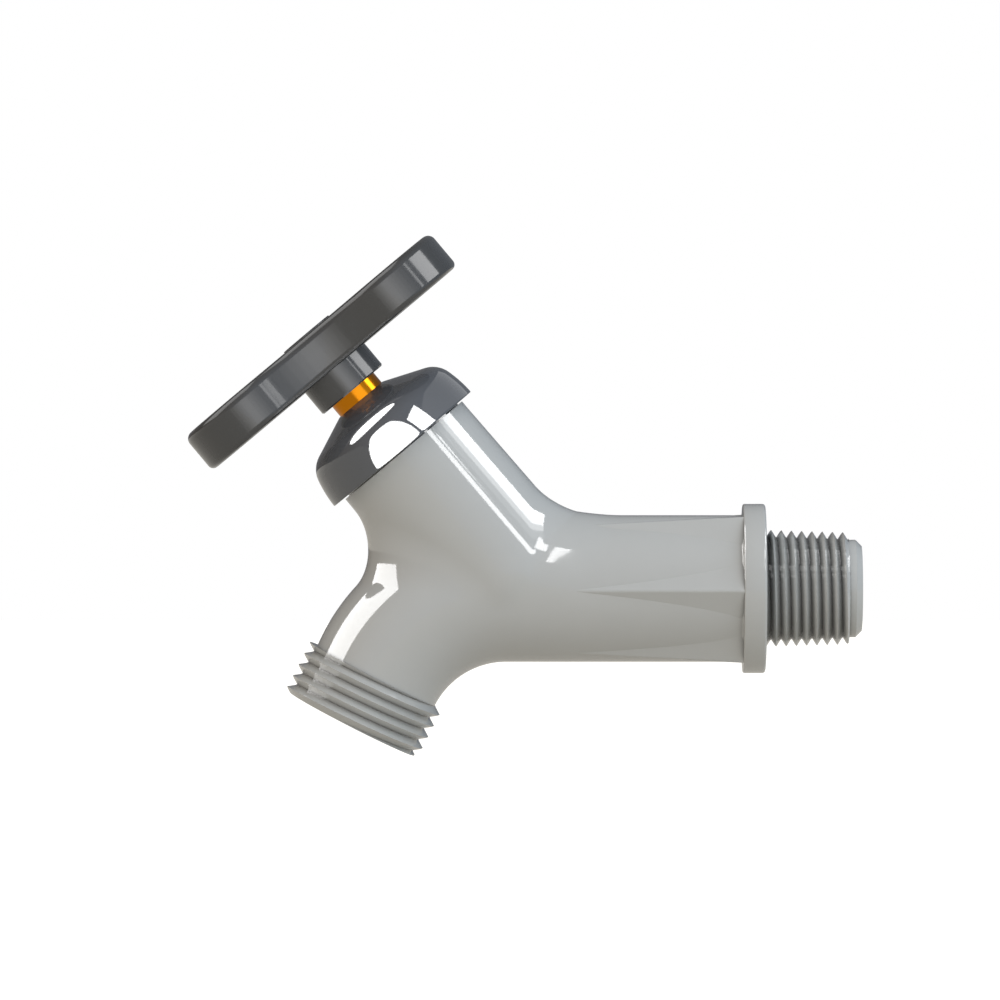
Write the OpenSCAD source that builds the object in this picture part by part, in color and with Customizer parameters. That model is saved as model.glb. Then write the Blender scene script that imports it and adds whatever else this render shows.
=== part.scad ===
// Screw-down hose faucet with a moulded Y-body.
// The origin is the centre of the flange's outer face, on the inlet's axis.
// +X leaves the inlet towards the wall, +Z is up, and the body is symmetric about Y = 0.

/* [Inlet] */
// Radius over the crests of the inlet thread
inlet_thread_r = 10.4; // [10:0.1:12]
// Length of the inlet thread
inlet_thread_len = 14.8; // [10:0.1:20]
// Radius of the plain pilot past the inlet thread
pilot_r = 8.65; // [8.2:0.05:9.5]
// Length of the plain pilot
pilot_len = 2.3; // [1.5:0.1:5]
// Radius of the waterway in the inlet
inlet_bore_r = 6.5; // [5.5:0.1:7]
// Radius of the round flange
flange_r = 15; // [14.5:0.1:17]
// Thickness of the flange
flange_t = 4; // [3:0.1:6]

/* [Horizontal leg and elbow] */
// Radius of the horizontal leg
leg_r = 13; // [12.5:0.1:13.5]
// Distance from the flange's outer face to the start of the elbow
leg_len = 45.9; // [42:0.1:50]
// Corner radius of the hexagon grip where it meets the flange
hex_r = 14.9; // [14.2:0.05:14.95]
// Distance from the flange's outer face to the tips of the hexagon's corners
hex_end = 35; // [28:0.5:36]
// Inside radius of the elbow's bend
elbow_inner_r = 14.2; // [12:0.1:18]
// Angle that the elbow turns through
bend = 63; // [58:1:68]
// Radius of the elbow's tube where it meets the outlet
outlet_leg_r = 11.7; // [11.5:0.1:12.6]

/* [Outlet] */
// Radius over the crests of the hose thread
outlet_thread_r = 13.3; // [13:0.1:14.5]
// Length of the hose thread
outlet_thread_len = 9.6; // [8:0.1:14]
// Radius of the outlet's mouth
outlet_bore_r = 9.8; // [9.5:0.1:10.5]
// Radius of the waterway in the elbow
elbow_bore_r = 9.2; // [8:0.1:9.4]

/* [Upper leg] */
// Elevation of the stem's axis
stem_tilt = 50; // [48:1:54]
// Distance from the elbow's start back to where the stem's axis crosses the inlet's axis
stem_back = 2.4; // [1:0.1:4]
// Radius of the upper leg where it grows out of the elbow
upper_foot_r = 14; // [13.5:0.1:14.4]
// Radius of the upper leg under the cap
upper_top_r = 13.5; // [13.2:0.1:14]
// Distance along the stem's axis to the shoulder under the cap
shoulder_s = 32; // [31:0.1:34]
// Radius of the threaded neck inside the cap
neck_r = 12.6; // [12.3:0.1:12.8]
// Height of the neck over the shoulder
neck_len = 5.5; // [5:0.1:7]
// Radius of the fillet between the upper leg and the horizontal leg
front_fillet_r = 16; // [10:0.5:18]
// Radius of the fillet between the upper leg and the elbow
back_fillet_r = 9; // [7:0.5:9]

/* [Chamber and seat] */
// Radius of the valve chamber
chamber_r = 10; // [9.5:0.1:10.4]
// Distance along the stem's axis to the chamber's floor
floor_s = 8; // [7.5:0.1:9]
// Height of the seat ring over the chamber's floor
seat_h = 1.2; // [0.8:0.1:1.8]
// Radius of the hole through the seat
throat_r = 5.5; // [5:0.1:6]
// Outer radius of the seat ring
seat_r = 7.5; // [6.8:0.1:8]

/* [Cap] */
// Radius of the cap's lower edge
cap_r = 15.8; // [15:0.1:17]
// Lean of the cap's skirt from the stem's axis
cap_lean = 7.6; // [5:0.1:9]
// Radius of the cap's rounded shoulder
cap_shoulder_r = 4.8; // [4:0.1:5.5]
// Full height of the cap
cap_h = 11.45; // [11:0.05:13]
// Slope of the cap's conical top
cap_slope = 22.5; // [18:0.5:26]
// Gap between the body's shoulder and the cap
cap_gap = 0.3; // [0.2:0.1:1]

/* [Head works] */
// Radius of the guide's flange in the neck
guide_flange_r = 11.2; // [10.9:0.1:11.4]
// Thickness of the guide's flange
guide_flange_t = 3; // [2:0.1:3.5]
// Thickness of the gasket under the guide's flange
gasket_t = 1; // [0.6:0.1:1.2]
// Outer radius of the guide's packing box
packing_box_r = 9.2; // [8.8:0.1:9.4]
// Height of the packing box over the guide's flange
packing_box_h = 1.8; // [1.2:0.1:2]
// Outer radius of the packing
packing_r = 7.2; // [6.8:0.1:7.6]
// Thickness of the washer under the packing
packing_washer_t = 0.8; // [0.5:0.1:1]
// Height of the packing
packing_h = 3; // [2:0.1:3]
// Height of the gland ring over the packing
gland_h = 1.3; // [0.8:0.1:1.4]

/* [Stem] */
// Radius of the stem where it passes the packing
stem_r = 4.76; // [4.5:0.01:4.9]
// Radius of the stem's thread
stem_thread_r = 5.5; // [5.2:0.1:5.8]
// Length of the stem that shows between the cap and the handle
stem_show = 2.25; // [1:0.05:5]
// Width of the stem's square under the handle
square_w = 6.6; // [6:0.1:6.7]
// Height of the stem's square
square_h = 8; // [6:0.1:8.4]
// Rise of the stem in one turn
stem_lead = 2.5; // [2:0.1:2.5]
// Turns from closed to open
stem_turns = 2.5; // [2:0.25:2.5]

/* [Jumper] */
// Radius of the seat washer
seat_washer_r = 7.3; // [6.8:0.1:7.6]
// Thickness of the seat washer
seat_washer_t = 2.2; // [1.5:0.1:3]
// Radius of the jumper's disc
jumper_r = 8; // [7.7:0.1:8.6]
// Thickness of the jumper's disc
jumper_t = 2.5; // [2:0.1:3]
// Radius of the jumper's spindle
spindle_r = 2.92; // [2.7:0.01:3]
// Length of the jumper's spindle
spindle_len = 9; // [6:0.1:10]
// Radius of the plate that holds the seat washer
washer_plate_r = 3.6; // [3:0.1:4]
// Thickness of the plate that holds the seat washer
washer_plate_t = 0.8; // [0.5:0.1:1.2]
// Radius of the seat washer screw
washer_screw_r = 1.5; // [1.2:0.1:1.8]
// Length of the seat washer screw
washer_screw_len = 6.5; // [5:0.1:7]

/* [Handle] */
// Radius of each lobe of the handle
lobe_r = 11.6; // [10:0.1:13]
// Distance of each lobe's centre from the stem's axis
lobe_reach = 16.7; // [15:0.1:20]
// Radius of the handle's concave sides
scallop_r = 30; // [29:0.5:36]
// Thickness of the handle
handle_t = 7.7; // [7:0.1:10]
// Rounding of the handle's upper edge
handle_top_round = 1.5; // [0.5:0.1:2.5]
// Rounding of the handle's lower edge
handle_foot_round = 1.1; // [0.5:0.1:1.1]
// Radius of the handle's hub
hub_r = 6.86; // [6.2:0.01:7.5]
// Height of the hub under the handle
hub_h = 5; // [4:0.1:6]
// Radius of the plug over the handle's screw
plug_r = 5.15; // [4.9:0.05:5.8]
// Height of the plug's disc over the handle
plug_h = 0.25; // [0.2:0.05:0.8]
// Radius of the handle screw
handle_screw_r = 1.9; // [1.5:0.1:2]
// Length of the handle screw under its head
handle_screw_len = 9; // [6:0.1:10]

/* [Fit] */
// Radial clearance of a part that turns or slides in another
running_clearance = 0.08; // [0.05:0.01:0.1]
// Radial clearance of a part that is assembled and stays put
seat_clearance = 0.1; // [0.05:0.01:0.15]
// Gap between faces that meet when the valve is closed
face_gap = 0.05; // [0.02:0.01:0.08]

/* [Hidden] */
$fn = 64;

// A cutter runs this far past the face that it opens
past = 1;
// The moulded skin is this far inside the turned ends that it runs into
skin_inset = 0.02;
// Length that the moulded skin shares with each turned end
skin_lap = 1;

// Distance from the flange's outer face to where the stem's axis crosses the inlet's axis
crossing = leg_len - stem_back;

// Places along the stem's axis
rim_s = shoulder_s + neck_len;
flange_foot_s = rim_s - guide_flange_t;
ledge_s = flange_foot_s - gasket_t;
packing_foot_s = flange_foot_s + 1;
packing_s = packing_foot_s + packing_washer_t;
gland_s = packing_s + packing_h;
cap_s = shoulder_s + cap_gap;
cap_top_s = cap_s + cap_h;
seat_s = floor_s + seat_h;
washer_s = seat_s + face_gap;
disc_s = washer_s + seat_washer_t;
stem_foot_s = disc_s + jumper_t + face_gap;
hub_s = cap_top_s + stem_show;
handle_s = hub_s + hub_h;
handle_top_s = handle_s + handle_t;
square_top_s = hub_s + square_h;
rise = stem_lead * stem_turns;
guide_foot_s = disc_s + jumper_t + rise + 0.4;
stem_thread_top_s = packing_foot_s - rise - 0.2;

// Sizes that fit round the stem
collar_r = stem_r + running_clearance;
screw_seat_s = square_top_s + 0.3;
lock_washer_t = 0.7;
screw_head_r = 3.6;
screw_head_h = 2;
plug_stem_r = plug_r - 0.35;

// The elbow's centre in the plane Y = 0
elbow_x = -leg_len;
elbow_z = -elbow_inner_r - leg_r;
// Places where the two legs' moulded fillets have run out
leg_skin_end = crossing - 17.5;
upper_skin_end = shoulder_s - 0.5;
// Depth in the upper leg where its round foot is centred
upper_foot_s = 4;

stem_dir = [-cos(stem_tilt), 0, sin(stem_tilt)];
across = [0, 1, 0];
crossing_at = [-crossing, 0, 0];

function mix(a, b, t) = a + (b - a) * t;
function clamp(t) = min(1, max(0, t));
function ease(t) = let (u = clamp(t)) u * u * (3 - 2 * u);
function heading(angle) = [cos(angle), 0, sin(angle)];
function stem_point(s) = crossing_at + s * stem_dir;

// The tube along the horizontal leg and the elbow: its radius, its axis and its distance field
function tube_r(turn) = mix(leg_r, outlet_leg_r, clamp(turn / bend));
function path_r(turn) = elbow_inner_r + tube_r(turn);
function elbow_point(turn, r) = [elbow_x - r * sin(turn), 0, elbow_z + r * cos(turn)];
function turn_at(p) = p[0] > elbow_x ? 0 : atan2(elbow_x - p[0], p[2] - elbow_z);
function tube_offset(p) =
    p[0] > elbow_x ? [0, p[1], p[2]] :
    let (dx = p[0] - elbow_x, dz = p[2] - elbow_z, rho = norm([dx, dz]),
        w = rho - path_r(turn_at(p)))
    [w * dx / rho, p[1], w * dz / rho];

// The upper leg, with a round foot inside the elbow
function upper_r(s) =
    mix(upper_foot_r, upper_top_r, clamp(s / (upper_skin_end - skin_lap)));
function upper_s(p) = max(upper_foot_s, (p - crossing_at) * stem_dir);
function upper_offset(p) = p - stem_point(upper_s(p));

// Fillet radius, from the inlet's side of the stem to the outlet's side
function fillet_r(p) = mix(back_fillet_r, front_fillet_r, ease((p[0] + crossing + 12) / 20));

// Distance to the moulded skin, with a rolling-ball fillet where the two tubes meet
function skin(p) =
    let (v1 = tube_offset(p), v2 = upper_offset(p), d1 = norm(v1), d2 = norm(v2),
        a = d1 - tube_r(turn_at(p)), b = d2 - upper_r(upper_s(p)),
        c = v1 * v2 / (d1 * d2), r = fillet_r(p), u = r - a, v = r - b)
    u > c * v && v > c * u && c < 0.999
        ? r - sqrt((u * u + v * v - 2 * c * u * v) / (1 - c * c))
        : min(a, b);

// The point where a ray from inside leaves the skin, by halving
function leave(from, dir, lo, hi, steps) =
    let (mid = (lo + hi) / 2)
    steps == 0 ? from + mid * dir :
    skin(from + mid * dir) + skin_inset < 0
        ? leave(from, dir, mid, hi, steps - 1)
        : leave(from, dir, lo, mid, steps - 1);

// One ring of the skin: half on the side that heads along a, half on the side along b
ring_n = 32;
reach = 34;
function ring(from, a, b) = [
    for (i = [0 : ring_n - 1])
    let (half = i <= ring_n / 2 ? i : ring_n - i,
        near_a = half <= ring_n / 4,
        step = near_a ? half : ring_n / 2 - half,
        lift = (i <= ring_n / 2 ? 1 : -1) * sin(360 * step / ring_n),
        dir = cos(360 * step / ring_n) * heading(near_a ? a : b) + lift * across)
    leave(from, dir, 0.01, reach, 22)];

// The three seams where the legs' skins meet, as headings from the hub point
hub_point = stem_point(3);
front_notch = 50;
back_notch = 175;
belly = 270;

leg_rings = 7;
upper_rings = 11;
elbow_rings = 15;
function leg_ring(k) =
    let (t = k / leg_rings, from = mix(hub_point, [-leg_skin_end, 0, 0], t))
    ring(from, belly, mix(front_notch, 90, t));
function upper_ring(k) =
    let (t = k / upper_rings, from = mix(hub_point, stem_point(upper_skin_end), t))
    ring(from, mix(front_notch, 90 - stem_tilt, t), mix(back_notch, 270 - stem_tilt, t));
function elbow_ring(k) =
    let (t = k / elbow_rings, turn = (bend + 2) * t,
        on_axis = elbow_point(turn, path_r(turn)), from = mix(hub_point, on_axis, clamp(4 * t)))
    ring(from, mix(back_notch, 90 + turn, t * t), mix(belly, belly + turn, clamp(2 * t)));

// A leg's rings joined by triangles, closed by its last ring
function leg_faces(first, rings) = [
    for (k = [0 : rings - 1], i = [0 : ring_n - 1])
    let (j = (i + 1) % ring_n, a = first + k * ring_n)
    each [[a + i, a + ring_n + i, a + ring_n + j], [a + i, a + ring_n + j, a + j]],
    [for (i = [ring_n - 1 : -1 : 0]) first + rings * ring_n + i]];

module skin_solid() {
    leg_points = [for (k = [0 : leg_rings]) each leg_ring(k)];
    upper_points = [for (k = [0 : upper_rings]) each upper_ring(k)];
    elbow_points = [for (k = [0 : elbow_rings]) each elbow_ring(k)];
    upper_first = len(leg_points);
    elbow_first = upper_first + len(upper_points);
    polyhedron(
        points = concat(leg_points, upper_points, elbow_points),
        faces = concat(leg_faces(0, leg_rings), leg_faces(upper_first, upper_rings),
            leg_faces(elbow_first, elbow_rings)));
}

module along_inlet() rotate([0, 90, 0]) children();
module along_stem() translate(crossing_at) rotate([0, stem_tilt - 90, 0]) children();
module along_outlet() translate(elbow_point(bend, path_r(bend))) rotate([0, -90 - bend, 0]) children();
module in_elbow() translate([elbow_x, 0, elbow_z]) rotate([90, 0, 0]) children();

// Points of an arc in a profile
function arc(centre, r, from, to, steps = 8) = [
    for (i = [0 : steps]) centre + r * [cos(mix(from, to, i / steps)), sin(mix(from, to, i / steps))]];

module tube(r, inner, foot, top) {
    rotate_extrude() translate([inner, foot]) square([r - inner, top - foot]);
}

// Inlet leg, flange, thread blank and pilot, turned in one piece
edge = 1;
bevel = 0.8;
root_fillet = 0.5;
module inlet_leg() {
    pilot_top = inlet_thread_len + pilot_len;
    along_inlet() rotate_extrude() polygon(concat(
        [[0, -leg_skin_end - skin_lap], [leg_r, -leg_skin_end - skin_lap]],
        arc([leg_r + root_fillet, -flange_t - root_fillet], root_fillet, 180, 90),
        [[flange_r, -flange_t]],
        arc([flange_r - edge, -edge], edge, 0, 90),
        [[inlet_thread_r, 0], [inlet_thread_r, inlet_thread_len - bevel],
            [inlet_thread_r - bevel, inlet_thread_len], [pilot_r, inlet_thread_len],
            [pilot_r, pilot_top - bevel], [pilot_r - bevel, pilot_top], [0, pilot_top]]));
}

// Hexagon grip whose corners fade into the round leg
module hex_grip() {
    slope = (hex_r - leg_r) / (hex_end - flange_t);
    lap = 0.5;
    rotate([0, -90, 0]) translate([0, 0, flange_t - lap]) rotate(30)
        cylinder(h = hex_end + 2 - flange_t + lap, r1 = hex_r + slope * lap,
            r2 = leg_r - slope * 2, $fn = 6);
}

module upper_neck() {
    rotate_extrude() polygon([[0, upper_skin_end - skin_lap], [upper_top_r, upper_skin_end - skin_lap],
        [upper_top_r, shoulder_s], [neck_r, shoulder_s], [neck_r, rim_s - edge / 2],
        [neck_r - edge / 2, rim_s], [0, rim_s]]);
}

module outlet_spigot() {
    rotate_extrude() polygon([[0, 0], [outlet_thread_r, 0], [outlet_thread_r, outlet_thread_len - bevel],
        [outlet_thread_r - bevel, outlet_thread_len], [0, outlet_thread_len]]);
}

// Throat, seat ring, chamber and the seat of the guide's flange, as one cutter
module chamber_cut() {
    flange_bore_r = guide_flange_r + seat_clearance;
    rotate_extrude() polygon([[0, -2], [throat_r, -2], [throat_r, seat_s], [seat_r, seat_s],
        [seat_r, floor_s], [chamber_r, floor_s], [chamber_r, ledge_s], [flange_bore_r, ledge_s],
        [flange_bore_r, rim_s + past], [0, rim_s + past]]);
}

// Turn of the elbow at which its waterway starts beside the chamber
waterway_start = 22;
module waterway_cut() {
    along_inlet() rotate_extrude() polygon(concat(
        arc([0, -crossing], inlet_bore_r, -90, 0),
        [[inlet_bore_r, inlet_thread_len + pilot_len + past], [0, inlet_thread_len + pilot_len + past]]));
    in_elbow() rotate(90 + waterway_start) rotate_extrude(angle = bend - waterway_start)
        translate([path_r(bend), 0]) circle(r = elbow_bore_r);
    along_outlet() translate([0, 0, -past]) cylinder(h = outlet_thread_len + 2 * past, r = outlet_bore_r);
}

module body() {
    color("#b6b6b0") difference() {
        union() {
            skin_solid();
            inlet_leg();
            hex_grip();
            along_stem() upper_neck();
            along_outlet() outlet_spigot();
        }
        along_stem() chamber_cut();
        waterway_cut();
    }
}

// Dark dome screwed over the neck; it clamps the guide and presses on the gland ring
module bonnet_cap() {
    top_r = collar_r + 0.2;
    lean = tan(cap_lean);
    fall = tan(cap_slope);
    a = cap_r - cap_shoulder_r / cos(cap_lean);
    b = cap_h + top_r * fall - cap_shoulder_r / cos(cap_slope);
    centre_r = (a - b * lean) / (1 - fall * lean);
    centre_h = b - centre_r * fall;
    box_bore_r = packing_box_r + 0.2;
    box_top = rim_s + packing_box_h + 0.3 - cap_s;
    gland_bore_r = packing_r + seat_clearance;
    gland_top = gland_s + gland_h - cap_s;
    bore_r = neck_r + seat_clearance;
    color("#4f5052") along_stem() translate([0, 0, cap_s]) rotate_extrude() polygon(concat(
        [[cap_r - 0.2, 0], [cap_r, 0.2]],
        arc([centre_r, centre_h], cap_shoulder_r, cap_lean, 90 - cap_slope, 12),
        [[top_r, cap_h], [collar_r, cap_h], [collar_r, gland_top], [gland_bore_r, gland_top],
            [gland_bore_r, box_top], [box_bore_r, box_top], [box_bore_r, rim_s - cap_s],
            [bore_r, rim_s - cap_s], [bore_r, 0]]));
}

// Threaded guide: its flange sits on the gasket and its barrel hangs in the chamber
module stem_guide() {
    barrel_r = chamber_r - 0.4;
    thread_bore_r = stem_thread_r + running_clearance;
    box_top_s = rim_s + packing_box_h;
    color("#c9c8c0") along_stem() rotate_extrude() polygon([[thread_bore_r, guide_foot_s],
        [barrel_r - edge, guide_foot_s], [barrel_r, guide_foot_s + edge], [barrel_r, flange_foot_s],
        [guide_flange_r, flange_foot_s], [guide_flange_r, rim_s], [packing_box_r, rim_s],
        [packing_box_r, box_top_s], [packing_r + seat_clearance, box_top_s],
        [packing_r + seat_clearance, packing_foot_s], [thread_bore_r, packing_foot_s]]);
}

module guide_gasket() {
    color("#2c2c2c") along_stem() tube(guide_flange_r, chamber_r, ledge_s, flange_foot_s);
}

module packing_washer() {
    color("#c4a24c") along_stem() tube(packing_r, collar_r, packing_foot_s, packing_s);
}

module stem_packing() {
    color("#202020") along_stem() tube(packing_r, collar_r, packing_s, gland_s);
}

module gland_ring() {
    color("#d8d6cc") along_stem() tube(packing_r, collar_r, gland_s, gland_s + gland_h);
}

// Brass stem: threaded foot with the jumper's socket, plain shaft, and a square for the handle
module stem() {
    socket_r = spindle_r + running_clearance;
    socket_top_s = disc_s + jumper_t + spindle_len + 0.5;
    tapped_s = screw_seat_s + lock_washer_t - handle_screw_len - 0.5;
    chamfer = stem_thread_r - stem_r;
    color("#c98a2e") along_stem() difference() {
        union() {
            rotate_extrude() polygon([[0, stem_foot_s], [stem_thread_r - chamfer, stem_foot_s],
                [stem_thread_r, stem_foot_s + chamfer], [stem_thread_r, stem_thread_top_s - chamfer],
                [stem_r, stem_thread_top_s], [stem_r, hub_s], [0, hub_s]]);
            translate([-square_w / 2, -square_w / 2, hub_s - past]) cube([square_w, square_w, square_h + past]);
        }
        translate([0, 0, stem_foot_s - past]) cylinder(h = socket_top_s - stem_foot_s + past, r = socket_r);
        translate([0, 0, tapped_s]) cylinder(h = square_top_s - tapped_s + past, r = handle_screw_r + face_gap);
    }
}

// Disc that carries the seat washer, with a spindle that stays in the stem's socket
module jumper() {
    ease_edge = 0.4;
    top_s = disc_s + jumper_t + spindle_len;
    hole_r = washer_screw_r + face_gap;
    hole_top_s = washer_s - washer_plate_t + washer_screw_len + 0.5;
    color("#c99a4a") along_stem() rotate_extrude() polygon([[hole_r, disc_s],
        [jumper_r - ease_edge, disc_s], [jumper_r, disc_s + ease_edge], [jumper_r, disc_s + jumper_t],
        [spindle_r, disc_s + jumper_t], [spindle_r, top_s - ease_edge], [spindle_r - ease_edge, top_s],
        [0, top_s], [0, hole_top_s], [hole_r, hole_top_s]]);
}

module seat_washer() {
    color("#1d1d1d") along_stem() tube(seat_washer_r, washer_screw_r + seat_clearance, washer_s, disc_s);
}

module washer_plate() {
    color("#c9c9c9") along_stem()
        tube(washer_plate_r, washer_screw_r + seat_clearance, washer_s - washer_plate_t, washer_s);
}

// A screw along the stem's axis: a head with its flat side at head_s, and a shank past it
module axial_screw(head_s, head_r, head_h, shank_r, shank_len) {
    rim = 0.3;
    rotate_extrude() polygon([[0, head_s + head_h], [head_r - rim, head_s + head_h],
        [head_r, head_s + head_h - rim], [head_r, head_s], [shank_r, head_s],
        [shank_r, head_s - shank_len + rim], [shank_r - rim, head_s - shank_len],
        [0, head_s - shank_len]]);
}

module washer_screw() {
    head_s = washer_s - washer_plate_t;
    color("#b9b9b9") along_stem() translate([0, 0, head_s]) mirror([0, 0, 1])
        axial_screw(0, washer_plate_r - 0.8, 1.4, washer_screw_r, washer_screw_len);
}

// The handle's outline: two lobes joined by concave arcs that are tangent to both
outline_y = sqrt(pow(lobe_r + scallop_r, 2) - pow(lobe_reach, 2));
lobe_end = 180 - atan2(outline_y, lobe_reach);
function outline(inset) =
    let (r = lobe_r - inset, hollow = scallop_r + inset, open = 180 - lobe_end)
    concat(
        arc([lobe_reach, 0], r, -lobe_end, lobe_end, 36),
        [for (i = [1 : 9]) arc([0, outline_y], hollow, -open, -lobe_end, 10)[i]],
        arc([-lobe_reach, 0], r, open, 360 - open, 36),
        [for (i = [1 : 9]) arc([0, -outline_y], hollow, lobe_end, open, 10)[i]]);

// Inset and height of the handle's levels, round at both edges
function handle_levels() = concat(
    [for (i = [0 : 5]) handle_foot_round * [1 - sin(18 * i), 1 - cos(18 * i)]],
    [for (i = [5 : -1 : 0])
        [handle_top_round * (1 - sin(18 * i)), handle_t - handle_top_round * (1 - cos(18 * i))]]);

module handle_plate() {
    levels = handle_levels();
    n = len(outline(0));
    last = len(levels) - 1;
    polyhedron(
        points = [for (level = levels) each [for (p = outline(level[0])) [p[0], p[1], level[1]]]],
        faces = concat(
            [[for (i = [0 : n - 1]) i], [for (i = [n - 1 : -1 : 0]) last * n + i]],
            [for (k = [0 : last - 1], i = [0 : n - 1])
                let (j = (i + 1) % n, a = k * n)
                each [[a + i, a + n + i, a + n + j], [a + i, a + n + j, a + j]]]));
}

module handle() {
    socket_w = square_w + 2 * face_gap;
    color("#434446") along_stem() difference() {
        union() {
            translate([0, 0, handle_s]) handle_plate();
            tube(hub_r, 0, hub_s, handle_s + past);
        }
        translate([-socket_w / 2, -socket_w / 2, hub_s - past])
            cube([socket_w, socket_w, screw_seat_s - hub_s + 2 * past]);
        tube(plug_stem_r + seat_clearance, 0, screw_seat_s, handle_top_s + past);
    }
}

module handle_lock_washer() {
    color("#c6c6c6") along_stem()
        tube(screw_head_r + 0.6, handle_screw_r + seat_clearance, screw_seat_s, screw_seat_s + lock_washer_t);
}

module handle_screw() {
    color("#b9b9b9") along_stem()
        axial_screw(screw_seat_s + lock_washer_t, screw_head_r, screw_head_h, handle_screw_r, handle_screw_len);
}

// Button that closes the handle's screw hole
module handle_plug() {
    stem_foot = screw_seat_s + lock_washer_t + screw_head_h + 0.2;
    color("#3c3d3f") along_stem() rotate_extrude() polygon([[0, stem_foot], [plug_stem_r, stem_foot],
        [plug_stem_r, handle_top_s], [plug_r, handle_top_s], [plug_r, handle_top_s + plug_h / 2],
        [plug_r - plug_h / 2, handle_top_s + plug_h], [0, handle_top_s + plug_h]]);
}

body();
bonnet_cap();
stem_guide();
guide_gasket();
packing_washer();
stem_packing();
gland_ring();
stem();
jumper();
seat_washer();
washer_plate();
washer_screw();
handle();
handle_screw();
handle_lock_washer();
handle_plug();
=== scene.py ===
import math
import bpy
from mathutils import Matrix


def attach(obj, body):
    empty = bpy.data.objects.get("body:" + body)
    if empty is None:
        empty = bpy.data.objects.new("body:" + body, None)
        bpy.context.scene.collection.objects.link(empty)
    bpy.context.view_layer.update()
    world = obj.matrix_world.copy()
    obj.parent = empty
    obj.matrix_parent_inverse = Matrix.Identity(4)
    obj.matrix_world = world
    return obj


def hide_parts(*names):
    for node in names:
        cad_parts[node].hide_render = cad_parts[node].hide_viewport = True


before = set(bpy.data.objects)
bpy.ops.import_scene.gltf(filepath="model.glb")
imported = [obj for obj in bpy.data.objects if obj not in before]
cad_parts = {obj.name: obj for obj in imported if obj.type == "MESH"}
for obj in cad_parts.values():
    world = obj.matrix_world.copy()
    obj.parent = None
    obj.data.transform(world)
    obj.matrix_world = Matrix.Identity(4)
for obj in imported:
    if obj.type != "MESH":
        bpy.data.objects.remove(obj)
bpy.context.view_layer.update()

from types import SimpleNamespace

import bmesh
import bpy
import numpy as np
from mathutils import Matrix, Vector

bl_info = {
    "name": "Hose faucet",
    "version": (1, 0, 0),
    "blender": (4, 5, 0),
    "location": "3D View > Sidebar > Faucet",
    "description": "Builds the looks of a screw-down hose faucet round its packed solids",
    "category": "Object",
}

MM = 0.001

# Angles of the body in degrees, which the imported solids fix
STEM_TILT = 50
BEND = 63

# Distance from the flange's outer face to where the stem's axis crosses the inlet's axis
CROSSING = 43.5

FRONT = Vector((0, -1, 0))
STEM_DIR = Vector((-math.cos(math.radians(STEM_TILT)), 0, math.sin(math.radians(STEM_TILT))))
STEM_SIDE = Vector((STEM_DIR.z, 0, -STEM_DIR.x))

# Two faces meet in a hard edge above this angle
HARD_EDGE = math.radians(30)
# Faces of two joined solids meet in a hard edge above this smaller angle
HARD_SEAM = math.radians(1.5)

# Points closer than the first distance merge, and edges shorter than the second vanish
WELD = 0.001 * MM
SLIVER = 0.0002 * MM
# Both distances after solids are joined or cut
SEAM_WELD = 0.0005 * MM
SEAM_SLIVER = 0.0001 * MM


def mix(a, b, t):
    """The value a share t of the way from a to b."""
    return a + (b - a) * t


def linear(code):
    """An sRGB hex colour as linear RGBA."""
    channels = [int(code[i:i + 2], 16) / 255 for i in (1, 3, 5)]
    return [c / 12.92 if c <= 0.04045 else ((c + 0.055) / 1.055) ** 2.4 for c in channels] + [1.0]


def length(name, description, millimetres):
    """A size that the user can change, given in millimetres and kept in metres."""
    return bpy.props.FloatProperty(
        name=name, description=description, default=millimetres * MM, min=0, unit="LENGTH")


def tint(name, description, code):
    """A colour that the user can change."""
    return bpy.props.FloatVectorProperty(
        name=name, description=description, default=linear(code), size=4,
        min=0, max=1, subtype="COLOR")


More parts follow.
